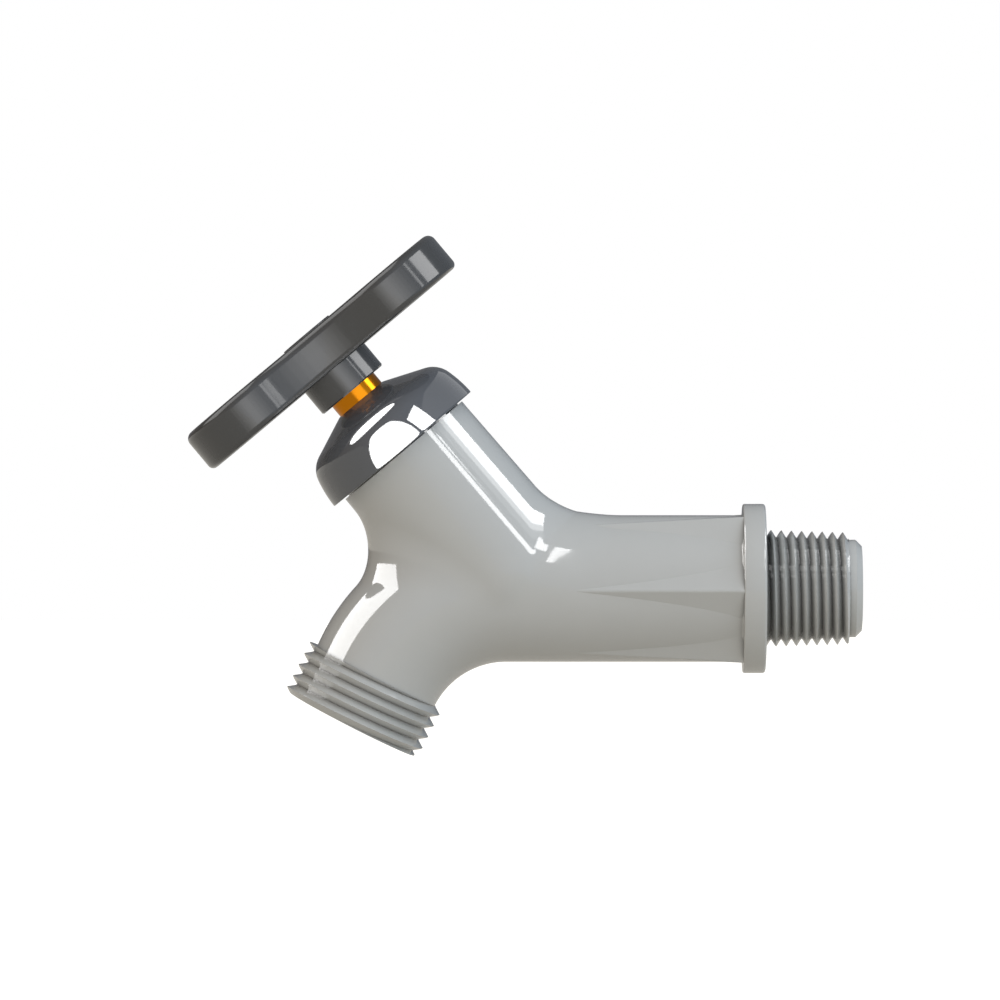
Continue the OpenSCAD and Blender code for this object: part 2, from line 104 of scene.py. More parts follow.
class BodySizes(bpy.types.PropertyGroup):
    """Sizes of the moulded body"""
    leg_r: length("Leg radius", "Radius of the horizontal leg", 13)
    leg_len: length("Leg length", "From the flange's outer face to the start of the elbow", 45.9)
    hex_r: length("Hexagon radius", "Corner radius of the grip at the flange", 14.9)
    hex_end: length("Hexagon length", "From the flange's outer face to the corners' tips", 35)
    hex_round: length("Hexagon edge", "Rounding of the hexagon's corners", 0.25)
    flange_r: length("Flange radius", "Radius of the round flange", 15)
    flange_t: length("Flange thickness", "Thickness of the round flange", 4)
    flange_round: length("Flange rounding", "Rounding of the flange's outer edge", 0.5)
    elbow_inner_r: length("Elbow inner radius", "Inside radius of the elbow's bend", 14.2)
    outlet_leg_r: length("Outlet radius", "Radius of the elbow where it meets the outlet", 11.7)
    upper_foot_r: length("Upper leg foot", "Radius of the upper leg at the elbow", 14)
    upper_foot_s: length("Foot depth", "Where the upper leg's round foot is centred", 4)
    upper_top_r: length("Upper leg top", "Radius of the upper leg under the cap", 13.5)
    shoulder_s: length("Shoulder", "Distance along the stem's axis to the shoulder", 32)
    front_fillet_r: length("Front fillet", "Fillet between the upper and the horizontal leg", 16)
    back_fillet_r: length("Back fillet", "Fillet between the upper leg and the elbow", 9)
    inlet_pitch: length("Inlet pitch", "Pitch of the tapered inlet thread", 1.814)
    inlet_crest_r: length("Inlet thread radius", "Radius over the inlet thread's crests", 10.5)
    inlet_depth: length("Inlet thread depth", "Depth of the inlet thread", 1.44)
    inlet_len: length("Inlet thread length", "Length of the inlet thread", 14.8)
    pilot_r: length("Pilot radius", "Radius of the plain end past the inlet thread", 8.65)
    pilot_len: length("Pilot length", "Length of the plain end past the inlet thread", 2.3)
    inlet_bore_r: length("Inlet bore", "Radius of the waterway in the inlet", 6.5)
    outlet_pitch: length("Outlet pitch", "Pitch of the hose thread", 2.209)
    outlet_crest_r: length("Outlet thread radius", "Radius over the hose thread's crests", 13.28)
    outlet_depth: length("Outlet thread depth", "Depth of the hose thread", 1.56)
    outlet_len: length("Outlet thread length", "Length of the hose thread", 9.6)
    outlet_bore_r: length("Outlet bore", "Radius of the outlet's mouth", 9.8)
    elbow_bore_r: length("Elbow bore", "Radius of the waterway in the elbow", 9.2)
    chamber_r: length("Chamber radius", "Radius of the valve chamber", 10)


class HeadSizes(bpy.types.PropertyGroup):
    """Sizes of the cap, the stem and the handle"""
    cap_r: length("Cap radius", "Radius of the cap's lower edge", 15.79)
    cap_h: length("Cap height", "Full height of the cap", 11.45)
    cap_shoulder_r: length("Cap shoulder", "Radius of the cap's rounded shoulder", 4.8)
    skirt_crown_r: length("Skirt crown", "Radius of the cap's crowned skirt", 22)
    stem_r: length("Stem radius", "Radius of the stem where it shows", 4.76)
    stem_show: length("Stem in view", "Stem between the cap and the handle", 2.25)
    lobe_r: length("Lobe radius", "Radius of each lobe of the handle", 11.6)
    lobe_reach: length("Lobe reach", "Distance of a lobe's centre from the stem's axis", 16.7)
    scallop_r: length("Waist radius", "Radius of the handle's concave sides", 24.8)
    handle_t: length("Handle thickness", "Thickness of the handle", 7.7)
    top_round: length("Upper rounding", "Rounding of the handle's upper edge", 1.5)
    foot_round: length("Lower rounding", "Rounding of the handle's lower edge", 1.1)
    hub_r: length("Hub radius", "Radius of the hub under the handle", 6.86)
    hub_h: length("Hub height", "Height of the hub under the handle", 5)
    plug_r: length("Plug radius", "Radius of the plug over the handle's screw", 5.15)
    plug_h: length("Plug height", "Height of the plug's disc over the handle", 0.25)


class Finishes(bpy.types.PropertyGroup):
    """Colours of the plastics and metals"""
    body: tint("Body", "Glossy moulded body", "#B5B5B0")
    cap: tint("Cap", "Glossy dark cap", "#4F5154")
    handle: tint("Handle", "Satin dark handle", "#3F3F3E")
    plug: tint("Plug", "Satin plug in the handle", "#434343")
    guide: tint("Guide", "Off-white guide and gland ring", "#C9C8C0")
    brass: tint("Brass", "Turned brass stem", "#D98616")
    rubber: tint("Rubber", "Black rubber seals", "#1D1D1D")
    steel: tint("Steel", "Plain stainless steel", "#BDBDBD")


def in_mm(group):
    """All the lengths of a property group in millimetres."""
    names = [p.identifier for p in group.bl_rna.properties if p.type == "FLOAT"]
    return SimpleNamespace(**{name: getattr(group, name) / MM for name in names})


def axis_frame(origin, angle):
    """Matrix that stands a piece's own z axis on a line in the plane Y = 0, in millimetres."""
    return Matrix.Translation(Vector(origin)) @ Matrix.Rotation(math.radians(angle), 4, "Y")


ALONG_INLET = axis_frame((0, 0, 0), 90)
ALONG_STEM = axis_frame((-CROSSING, 0, 0), STEM_TILT - 90)


def outlet_frame(size):
    """The outlet's own axis, from the centre of the elbow's end."""
    turn = math.radians(BEND)
    path_r = size.elbow_inner_r + size.outlet_leg_r
    elbow_z = -size.elbow_inner_r - size.leg_r
    origin = (-size.leg_len - path_r * math.sin(turn), 0, elbow_z + path_r * math.cos(turn))
    return axis_frame(origin, -90 - BEND)


def arc(centre, radius, start, end, steps=12):
    """Points of an arc in a turned profile."""
    angles = np.radians(np.linspace(start, end, steps + 1))
    return [(centre[0] + radius * math.cos(t), centre[1] + radius * math.sin(t)) for t in angles]


def add_node(tree, kind, inputs=None, **settings):
    """Add one node, set its properties, then give each named input a value or a link."""
    node = tree.nodes.new(kind)
    for name, value in settings.items():
        setattr(node, name, value)
    for key, value in (inputs or {}).items():
        if isinstance(value, bpy.types.NodeSocket):
            tree.links.new(value, node.inputs[key])
        else:
            node.inputs[key].default_value = value
    return node


def node_group(name, sockets):
    """An empty Geometry Nodes tree with named inputs, its group input and its output."""
    tree = bpy.data.node_groups.new(name, "GeometryNodeTree")
    tree.is_modifier = True
    tree.interface.new_socket("Geometry", in_out="OUTPUT", socket_type="NodeSocketGeometry")
    for label, kind in sockets:
        tree.interface.new_socket(label, in_out="INPUT", socket_type="NodeSocket" + kind)
    start = add_node(tree, "NodeGroupInput")
    return tree, start.outputs


def close_group(tree, geometry, material):
    """End a tree as every tree here ends: real geometry with its material."""
    real = add_node(tree, "GeometryNodeRealizeInstances", {"Geometry": geometry})
    painted = add_node(tree, "GeometryNodeSetMaterial",
                       {"Geometry": real.outputs[0], "Material": material})
    add_node(tree, "NodeGroupOutput", {"Geometry": painted.outputs[0]})
    return tree


def turned_tree():
    """Turn a profile, drawn as edges in the xy plane, round the z axis."""
    tree, start = node_group("Turned piece", [
        ("Profile", "Geometry"), ("Segments", "Int"), ("Path radius", "Float"),
        ("Material", "Material")])
    profile = add_node(tree, "GeometryNodeMeshToCurve", {"Mesh": start["Profile"]})
    path = add_node(tree, "GeometryNodeCurvePrimitiveCircle",
                    {"Resolution": start["Segments"], "Radius": start["Path radius"]})
    swept = add_node(tree, "GeometryNodeCurveToMesh",
                     {"Curve": path.outputs[0], "Profile Curve": profile.outputs[0]})
    merged = add_node(tree, "GeometryNodeMergeByDistance",
                      {"Geometry": swept.outputs[0], "Distance": WELD})
    return close_group(tree, merged.outputs[0], start["Material"])


def thread_tree():
    """A solid screw thread on the z axis: rows follow the helix, so crests and roots are sharp."""
    tree, start = node_group("Screw thread", [
        ("Base", "Geometry"), ("Pitch", "Float"), ("Crest radius", "Float"),
        ("Depth", "Float"), ("Taper", "Float"), ("Length", "Float"), ("Phase", "Float"),
        ("Chamfer", "Float"), ("Rows in a pitch", "Int"), ("Columns", "Int"),
        ("Material", "Material")])

    def maths(operation, a, b=0.0, c=0.0):
        node = add_node(tree, "ShaderNodeMath", {0: a, 1: b, 2: c}, operation=operation)
        return node.outputs[0]

    # A grid of rows along the thread and columns round it, one pitch longer than the thread
    row_step = maths("DIVIDE", start["Pitch"], start["Rows in a pitch"])
    span = maths("ADD", start["Length"], start["Pitch"])
    steps = maths("CEIL", maths("DIVIDE", span, row_step))
    grid = add_node(tree, "GeometryNodeMeshGrid", {
        "Size X": 1.0, "Size Y": 1.0, "Vertices X": maths("ADD", steps, 1.0),
        "Vertices Y": maths("ADD", start["Columns"], 1.0)})
    place = add_node(tree, "ShaderNodeSeparateXYZ",
                     {0: add_node(tree, "GeometryNodeInputPosition").outputs[0]})
    along = maths("MULTIPLY", maths("ADD", place.outputs[0], 0.5), maths("MULTIPLY", steps, row_step))
    # Each column climbs by its share of a turn, and what passes either end is pressed flat on it
    turns = maths("ADD", place.outputs[1], 0.5)
    climb = maths("MULTIPLY", turns, start["Pitch"])
    height = maths("ADD", maths("SUBTRACT", along, start["Pitch"]), climb)
    height = maths("MINIMUM", maths("MAXIMUM", height, 0.0), start["Length"])
    # The small step keeps a crest's phase from falling just under 1
    small_step = 0.0001
    phase = maths("DIVIDE", maths("SUBTRACT", height, climb), start["Pitch"])
    phase = maths("FRACT", maths("ADD", maths("ADD", phase, start["Phase"]), small_step))
    groove = maths("SUBTRACT", 1.0, maths("ABSOLUTE", maths("MULTIPLY_ADD", phase, 2.0, -1.0)))
    crest = maths("SUBTRACT", start["Crest radius"], maths("MULTIPLY", height, start["Taper"]))
    radius = maths("SUBTRACT", crest, maths("MULTIPLY", groove, start["Depth"]))
    # The far end is chamfered
    end_r = maths("SUBTRACT", start["Crest radius"], start["Chamfer"])
    limit = maths("ADD", end_r, maths("SUBTRACT", start["Length"], height))
    radius = maths("MINIMUM", radius, limit)
    angle = maths("MULTIPLY", turns, math.tau)
    spot = add_node(tree, "ShaderNodeCombineXYZ", {
        0: maths("MULTIPLY", radius, maths("COSINE", angle)),
        1: maths("MULTIPLY", radius, maths("SINE", angle)), 2: height})
    moved = add_node(tree, "GeometryNodeSetPosition",
                     {"Geometry": grid.outputs[0], "Position": spot.outputs[0]})
    merged = add_node(tree, "GeometryNodeMergeByDistance",
                      {"Geometry": moved.outputs[0], "Distance": 2 * WELD})
    return close_group(tree, merged.outputs[0], start["Material"])


def grown(base, tree, values):
    """The plain mesh that a Geometry Nodes tree makes from a base mesh."""
    holder = bpy.data.objects.new("holder", base)
    bpy.context.scene.collection.objects.link(holder)
    modifier = holder.modifiers.new("Grow", "NODES")
    modifier.node_group = tree
    for item in tree.interface.items_tree:
        if item.in_out == "INPUT" and item.name in values:
            modifier[item.identifier] = values[item.name]
    graph = bpy.context.evaluated_depsgraph_get()
    mesh = bpy.data.meshes.new_from_object(holder.evaluated_get(graph), depsgraph=graph)
    holder.modifiers.clear()
    bpy.data.objects.remove(holder)
    return mesh


def tidied(mesh, name):
    """Close the holes, merge what meets, and point every face outwards."""
    shape = bmesh.new()
    shape.from_mesh(mesh)
    bmesh.ops.remove_doubles(shape, verts=shape.verts, dist=WELD)
    bmesh.ops.dissolve_degenerate(shape, edges=shape.edges, dist=SLIVER)
    bmesh.ops.holes_fill(shape, edges=[e for e in shape.edges if e.is_boundary], sides=0)
    bmesh.ops.recalc_face_normals(shape, faces=shape.faces)
    if shape.calc_volume(signed=True) < 0:
        bmesh.ops.reverse_faces(shape, faces=shape.faces)
    open_edges = sum(not e.is_manifold for e in shape.edges)
    if open_edges:
        raise RuntimeError(f"{name} has {open_edges} open edges")
    shape.to_mesh(mesh)
    shape.free()
    mesh.name = name
    return mesh


def turned(name, profile, place, segments=160):
    """A closed solid of revolution from (radius, height) points in millimetres."""
    # The profile follows a circle of this radius, so it is drawn that much further in
    path_r = 1.0
    points = [((r - path_r) * MM, -h * MM, 0) for r, h in profile]
    edges = [(i, i + 1) for i in range(len(points) - 1)]
    # A profile with an end further than this off the axis is closed by one more edge
    on_axis_r = 0.001
    if max(profile[0][0], profile[-1][0]) > on_axis_r:
        edges.append((len(points) - 1, 0))
    base = bpy.data.meshes.new(name)
    base.from_pydata(points, edges, [])
    mesh = grown(base, trees["turned"], {"Segments": segments, "Path radius": path_r * MM})
    mesh.transform(scaled(place))
    return tidied(mesh, name)


def scaled(place):
    """A placement in millimetres as one for a mesh in metres."""
    moved = place.copy()
    moved.translation = place.translation * MM
    return moved


def mesh_of_rings(name, chains):
    """One closed mesh from chains of rings of points, in millimetres."""
    points, faces = [], []
    for rings in chains:
        first = sum(len(p) for p in points)
        count = len(rings[0])
        index = first + np.arange(len(rings) * count).reshape(len(rings), count)
        ahead = np.roll(index, -1, axis=1)
        faces.append(np.stack((index[:-1], index[1:], ahead[1:], ahead[:-1]), -1).reshape(-1, 4))
        points.append(np.concatenate(rings))
    mesh = bpy.data.meshes.new(name)
    mesh.from_pydata((np.concatenate(points) * MM).tolist(), [], np.concatenate(faces).tolist())
    return tidied(mesh, name)


def box_mesh(name, low, high, place):
    """A closed box between two corners, in millimetres."""
    mesh = bpy.data.meshes.new(name)
    shape = bmesh.new()
    low, high = Vector(low), Vector(high)
    bmesh.ops.create_cube(shape, size=1)
    for v in shape.verts:
        v.co = Vector(a + (b - a) * (c + 0.5) for a, b, c in zip(low, high, v.co)) * MM
    shape.to_mesh(mesh)
    shape.free()
    mesh.transform(scaled(place))
    return tidied(mesh, name)


def joined(name, first, steps):
    """Join or cut closed meshes in order, and mark the seams between them as hard edges."""
    parts = [first] + [mesh for operation, mesh in steps]
    keys = [bpy.data.materials.new(f"part {i}") for i in range(len(parts))]
    for i, mesh in enumerate(parts):
        mesh.materials.clear()
        for key in keys:
            mesh.materials.append(key)
        mesh.polygons.foreach_set("material_index", [i] * len(mesh.polygons))
    holder = bpy.data.objects.new(name, first)
    bpy.context.scene.collection.objects.link(holder)
    tools = []
    for operation, mesh in steps:
        tool = bpy.data.objects.new(mesh.name, mesh)
        bpy.context.scene.collection.objects.link(tool)
        tools.append(tool)
        modifier = holder.modifiers.new(mesh.name, "BOOLEAN")
        modifier.operation = operation
        modifier.solver = "MANIFOLD"
        modifier.object = tool
    graph = bpy.context.evaluated_depsgraph_get()
    result = bpy.data.meshes.new_from_object(holder.evaluated_get(graph), depsgraph=graph)
    holder.modifiers.clear()
    for done in tools + [holder]:
        bpy.data.objects.remove(done)
    shape = bmesh.new()
    shape.from_mesh(result)
    bmesh.ops.remove_doubles(shape, verts=shape.verts, dist=SEAM_WELD)
    bmesh.ops.dissolve_degenerate(shape, edges=shape.edges, dist=SEAM_SLIVER)
    for face in shape.faces:
        face.smooth = True
    for edge in shape.edges:
        if len(edge.link_faces) == 2:
            angle = edge.calc_face_angle(0)
            seam = len({f.material_index for f in edge.link_faces}) == 2
            edge.smooth = angle < (HARD_SEAM if seam else HARD_EDGE)
    for face in shape.faces:
        face.material_index = 0
    shape.to_mesh(result)
    shape.free()
    result.materials.clear()
    for key in keys:
        bpy.data.materials.remove(key)
    result.name = name
    return result


def show_piece(name, mesh, material, body, nodes=()):
    """Put a finished mesh in the scene on its body, in place of its solids."""
    mesh.materials.clear()
    mesh.materials.append(material)
    piece = bpy.data.objects.new(name, mesh)
    bpy.context.scene.collection.objects.link(piece)
    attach(piece, body)
    if nodes:
        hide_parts(*nodes)
    return piece


def smooth_turned(mesh):
    """Smooth the turned faces and keep the corners hard."""
    mesh.shade_smooth()
    mesh.set_sharp_from_angle(angle=HARD_EDGE)
    return mesh


def heading(angle):
    """Direction in the plane Y = 0, at an angle from +X towards +Z."""
    turn = math.radians(angle)
    return np.array((math.cos(turn), 0.0, math.sin(turn)))


def ease(t):
    """Smooth step from 0 to 1."""
    u = np.clip(t, 0, 1)
    return u * u * (3 - 2 * u)


def stem_point(s):
    """The point on the stem's axis at a height s over the crossing."""
    return np.array((-CROSSING, 0.0, 0.0)) + s * np.array(STEM_DIR)


# The upper leg's taper ends this far under its shoulder
TAPER_GAP = 1.5
# The fillet's radius changes from its back to its front value along this stretch of x
BLEND_START = -CROSSING - 12
BLEND_LEN = 20


def tube_field(points, size):
    """Offset from the axis of the horizontal leg and the elbow, and the radius there."""
    x = points[..., 0] + size.leg_len
    z = points[..., 2] + size.elbow_inner_r + size.leg_r
    straight = x > 0
    turn = np.where(straight, 0, np.degrees(np.arctan2(-x, z)))
    radius = mix(size.leg_r, size.outlet_leg_r, np.clip(turn / BEND, 0, 1))
    reach = np.maximum(np.hypot(x, z), 1e-6)
    miss = reach - size.elbow_inner_r - radius
    offset = np.stack((
        np.where(straight, 0, miss * x / reach), points[..., 1],
        np.where(straight, points[..., 2], miss * z / reach)), -1)
    return offset, radius


def upper_field(points, size):
    """Offset from the axis of the upper leg, and the radius there."""
    axis = np.array(STEM_DIR)
    from_crossing = points - stem_point(0)
    along = np.maximum(size.upper_foot_s, from_crossing @ axis)
    share = np.clip(along / (size.shoulder_s - TAPER_GAP), 0, 1)
    return from_crossing - along[..., None] * axis, mix(size.upper_foot_r, size.upper_top_r, share)


def skin_field(points, size):
    """Distance to the moulded skin, with a rolling-ball fillet where the two tubes meet."""
    to_tube, tube_r = tube_field(points, size)
    to_upper, upper_r = upper_field(points, size)
    far_tube = np.maximum(np.linalg.norm(to_tube, axis=-1), 1e-9)
    far_upper = np.maximum(np.linalg.norm(to_upper, axis=-1), 1e-9)
    a = far_tube - tube_r
    b = far_upper - upper_r
    c = np.sum(to_tube * to_upper, -1) / (far_tube * far_upper)
    share = ease((points[..., 0] - BLEND_START) / BLEND_LEN)
    fillet_r = mix(size.back_fillet_r, size.front_fillet_r, share)
    u = fillet_r - a
    v = fillet_r - b
    # Where both offsets point the same way, no ball fits between the tubes
    apart = c < 0.999
    in_fillet = (u > c * v) & (v > c * u) & apart
    gap = np.maximum(1 - c * c, 1e-9)
    ball = fillet_r - np.sqrt(np.maximum((u * u + v * v - 2 * c * u * v) / gap, 0))
    return np.where(in_fillet, ball, np.minimum(a, b))


def ring_directions(count, a, b):
    """Directions of a ring's rays: half of them head along a, and half along b."""
    turn = np.arange(count) * math.tau / count
    lift = np.sin(turn)[:, None] * np.array((0.0, 1.0, 0.0))
    lean = np.cos(turn)[:, None]
    return np.where(lean > 0, lean * heading(a), -lean * heading(b)) + lift


def skin_ring(size, count, origin, a, b):
    """The ring of points where rays from inside leave the skin, found by halving."""
    shortest, longest, halvings = 0.01, 34.0, 26
    rays = ring_directions(count, a, b)
    low = np.full(count, shortest)
    high = np.full(count, longest)
    for step in range(halvings):
        middle = (low + high) / 2
        inside = skin_field(origin + middle[:, None] * rays, size) < 0
        low = np.where(inside, middle, low)
        high = np.where(inside, high, middle)
    return origin + ((low + high) / 2)[:, None] * rays


def turned_rings(count, origin, axis, a, b, profile):
    """Rings of a turned end that carries on from the skin: (height, radius) points."""
    rays = ring_directions(count, a, b)
    return [origin + height * axis + radius * rays for height, radius in profile]


# The legs' rings start from this height on the stem's axis
HUB_S = 3
# Angles in the plane Y = 0 at which the seams between the legs leave that point
FRONT_NOTCH = 50
BACK_NOTCH = 175
BELLY = 270
# Points in each ring
SKIN_COLUMNS = 240
# The skin's rays end this far from the crossing on the inlet leg, which is plain from there
LEG_SKIN_END = 17.5
# Each thread is cut on a core this much smaller than the plain end beside it
CORE_GAP = 0.3


def inlet_rings(size):
    """Rings of the horizontal leg, the flange, the inlet thread's core and the plain end."""
    hub = stem_point(HUB_S)
    leg_end = np.array((LEG_SKIN_END - CROSSING, 0.0, 0.0))
    rings = []
    for t in np.linspace(0, 1, 34):
        rings.append(skin_ring(size, SKIN_COLUMNS, mix(hub, leg_end, t), BELLY,
                               mix(FRONT_NOTCH, 90, t)))
    root, inner_edge, outer_edge = 0.5, 0.3, size.flange_round
    back = -size.flange_t
    profile = [(x, size.leg_r) for x in np.linspace(leg_end[0] + 1, back - root, 18)]
    profile += [(x, r) for r, x in arc((size.leg_r + root, back - root), root, 180, 90, 6)[1:]]
    profile += [(x, r) for r, x in
                arc((size.flange_r - inner_edge, back + inner_edge), inner_edge, -90, 0, 3)]
    profile += [(x, r) for r, x in arc((size.flange_r - outer_edge, -outer_edge), outer_edge, 0, 90, 8)]
    core_r = size.pilot_r - CORE_GAP
    pilot_end = size.inlet_len + size.pilot_len
    bevel = 1.1
    # The core steps out to the plain end just inside the thread's end
    profile += [(0, core_r), (size.inlet_len - 0.2, core_r), (size.inlet_len - 0.05, size.pilot_r),
                (pilot_end - bevel, size.pilot_r), (pilot_end, size.pilot_r - bevel), (pilot_end, 0)]
    return rings + turned_rings(SKIN_COLUMNS, np.zeros(3), heading(0), BELLY, 90, profile)


def upper_rings(size):
    """Rings of the upper leg, its shoulder and the neck inside the cap."""
    hub = stem_point(HUB_S)
    # The skin's rays end just under the shoulder
    skin_end = stem_point(size.shoulder_s - 0.5)
    rings = []
    for t in np.linspace(0, 1, 46):
        rings.append(skin_ring(size, SKIN_COLUMNS, mix(hub, skin_end, t),
                               mix(FRONT_NOTCH, 90 - STEM_TILT, t),
                               mix(BACK_NOTCH, 270 - STEM_TILT, t)))
    neck_r, neck_len, bevel = 12.6, 5.5, 0.5
    rim = size.shoulder_s + neck_len
    profile = [(size.shoulder_s, size.upper_top_r), (size.shoulder_s, neck_r), (rim - bevel, neck_r),
               (rim, neck_r - bevel), (rim, 0)]
    return rings + turned_rings(SKIN_COLUMNS, stem_point(0), np.array(STEM_DIR), 90 - STEM_TILT,
                                270 - STEM_TILT, profile)


def elbow_rings(size):
    """Rings of the tapered elbow and the outlet thread's core."""
    hub = stem_point(HUB_S)
    centre = np.array((-size.leg_len, 0, -size.elbow_inner_r - size.leg_r))
    rings = []
    for t in np.linspace(0, 1, 60):
        turn = BEND * t
        path_r = size.elbow_inner_r + mix(size.leg_r, size.outlet_leg_r, t)
        on_axis = centre + path_r * heading(90 + turn)
        # The rays start from the hub at first, and from the elbow's axis after a quarter of it
        origin = mix(hub, on_axis, min(1, 4 * t))
        rings.append(skin_ring(size, SKIN_COLUMNS, origin, mix(BACK_NOTCH, 90 + turn, t * t),
                               mix(BELLY, 270 + turn, min(1, 2 * t))))
    core_r = size.outlet_leg_r - CORE_GAP
    core_end = size.outlet_len - 0.1
    # The elbow's skin steps in to the core just inside the thread's start
    profile = [(0.05, size.outlet_leg_r), (0.06, core_r), (core_end, core_r), (core_end, 0)]
    return rings + turned_rings(SKIN_COLUMNS, on_axis, heading(180 + BEND), 90 + BEND, 270 + BEND,
                                profile)


def hexagon_mesh(size):
    """Hexagon grip: a six-sided cone whose corners fade into the round leg."""
    slope = (size.hex_r - size.leg_r) / (size.hex_end - size.flange_t)
    # Both ends of the cone lie inside the body, in the flange and under the leg's skin
    into_flange, into_leg = 0.5, 2
    start = size.flange_t - into_flange
    end = size.hex_end + into_leg
    mesh = bpy.data.meshes.new("hexagon")
    shape = bmesh.new()
    rings = []
    for x, corner_r in ((start, size.hex_r + into_flange * slope), (end, size.leg_r - into_leg * slope)):
        turns = [math.radians(30 + 60 * k) for k in range(6)]
        rings.append([shape.verts.new(Vector((-x, corner_r * math.sin(t), corner_r * math.cos(t))) * MM)
                      for t in turns])
    for k in range(6):
        j = (k + 1) % 6
        shape.faces.new((rings[0][k], rings[0][j], rings[1][j], rings[1][k]))
    shape.faces.new(rings[0])
    shape.faces.new(reversed(rings[1]))
    # The edges between the two rings are the grip's corners
    corners = [e for e in shape.edges if abs(e.verts[0].co.x - e.verts[1].co.x) > 10 * MM]
    bmesh.ops.bevel(shape, geom=corners, offset=size.hex_round * MM, offset_type="OFFSET",
                    segments=3, profile=0.5, affect="EDGES")
    shape.to_mesh(mesh)
    shape.free()
    return tidied(mesh, "hexagon")


def thread_mesh(name, place, columns, **values):
    """A solid thread, with its sizes in millimetres."""
    unitless = ("Taper", "Phase", "Rows in a pitch")
    inputs = {key.replace("_", " "): value for key, value in values.items()}
    inputs = {key: value if key in unitless else value * MM for key, value in inputs.items()}
    base = bpy.data.meshes.new(name)
    mesh = grown(base, trees["thread"], dict(inputs, Columns=columns))
    mesh.transform(scaled(place))
    return tidied(mesh, name)


def elbow_bore(size):
    """The curved waterway from the chamber to the outlet, as a closed cutter."""
    # The bore starts in the chamber's side, this many degrees into the bend
    start = 22
    path_r = size.elbow_inner_r + size.outlet_leg_r
    centre = np.array((-size.leg_len, 0, -size.elbow_inner_r - size.leg_r))
    rings = []
    for turn in np.linspace(start, BEND, 32):
        rays = ring_directions(96, 90 + turn, 270 + turn)
        rings.append(centre + path_r * heading(90 + turn) + size.elbow_bore_r * rays)
    return mesh_of_rings("elbow bore", [rings])


def chamber_bore(size):
    """Throat, seat, valve chamber and the guide's seat, as one turned cutter."""
    throat_r, throat_foot = 5.5, -2
    seat_r, seat_top, floor = 7.5, 9.2, 8
    ledge_r, ledge, top = 11.3, 33.5, 38.5
    profile = [(0, throat_foot), (throat_r, throat_foot), (throat_r, seat_top), (seat_r, seat_top),
               (seat_r, floor), (size.chamber_r, floor), (size.chamber_r, ledge), (ledge_r, ledge),
               (ledge_r, top), (0, top)]
    return turned("chamber", profile, ALONG_STEM, 128)


def body_mesh(size):
    """The whole body: skin, hexagon grip and threads, with its waterway cut out."""
    outlet = outlet_frame(size)
    # The inlet's thread starts inside the flange, and narrows by 1 in 32 on each side
    start = -0.5
    taper = 1 / 32
    chamfer = 0.8
    rows = 8
    # The phases put the crests where the photograph shows them
    inlet_thread = thread_mesh(
        "inlet thread", axis_frame((start, 0, 0), 90), 144, Pitch=size.inlet_pitch,
        Crest_radius=size.inlet_crest_r, Depth=size.inlet_depth, Taper=taper,
        Length=size.inlet_len - start, Phase=0.649, Chamfer=chamfer, Rows_in_a_pitch=rows)
    outlet_thread = thread_mesh(
        "outlet thread", outlet, 192, Pitch=size.outlet_pitch, Crest_radius=size.outlet_crest_r,
        Depth=size.outlet_depth, Taper=0, Length=size.outlet_len, Phase=0.977, Chamfer=chamfer,
        Rows_in_a_pitch=rows)
    # The inlet's bore has a round end at the crossing, and both bores run out past their mouths
    past = 1
    bore_end = size.inlet_len + size.pilot_len + past
    inlet_bore = turned("inlet bore", arc((0, -CROSSING), size.inlet_bore_r, -90, 0, 16)
                        + [(size.inlet_bore_r, bore_end), (0, bore_end)], ALONG_INLET, 128)
    mouth_r, mouth_end = size.outlet_bore_r, size.outlet_len + past
    mouth = turned("mouth", [(0, -past), (mouth_r, -past), (mouth_r, mouth_end), (0, mouth_end)],
                   outlet, 128)
    skin = mesh_of_rings("skin", [inlet_rings(size), upper_rings(size), elbow_rings(size)])
    return joined("body", skin, [
        ("UNION", hexagon_mesh(size)), ("UNION", inlet_thread), ("UNION", outlet_thread),
        ("DIFFERENCE", chamber_bore(size)), ("DIFFERENCE", inlet_bore),
        ("DIFFERENCE", elbow_bore(size)), ("DIFFERENCE", mouth)])


# Height of the cap's foot on the stem's axis
CAP_S = 32.3
# Slope of the cap's conical top, and lean of its skirt at the foot, in degrees
CAP_SLOPE = 22.5
SKIRT_FOOT = 1.5
# Clearance between the stem and the cap's collar
COLLAR_GAP = 0.08


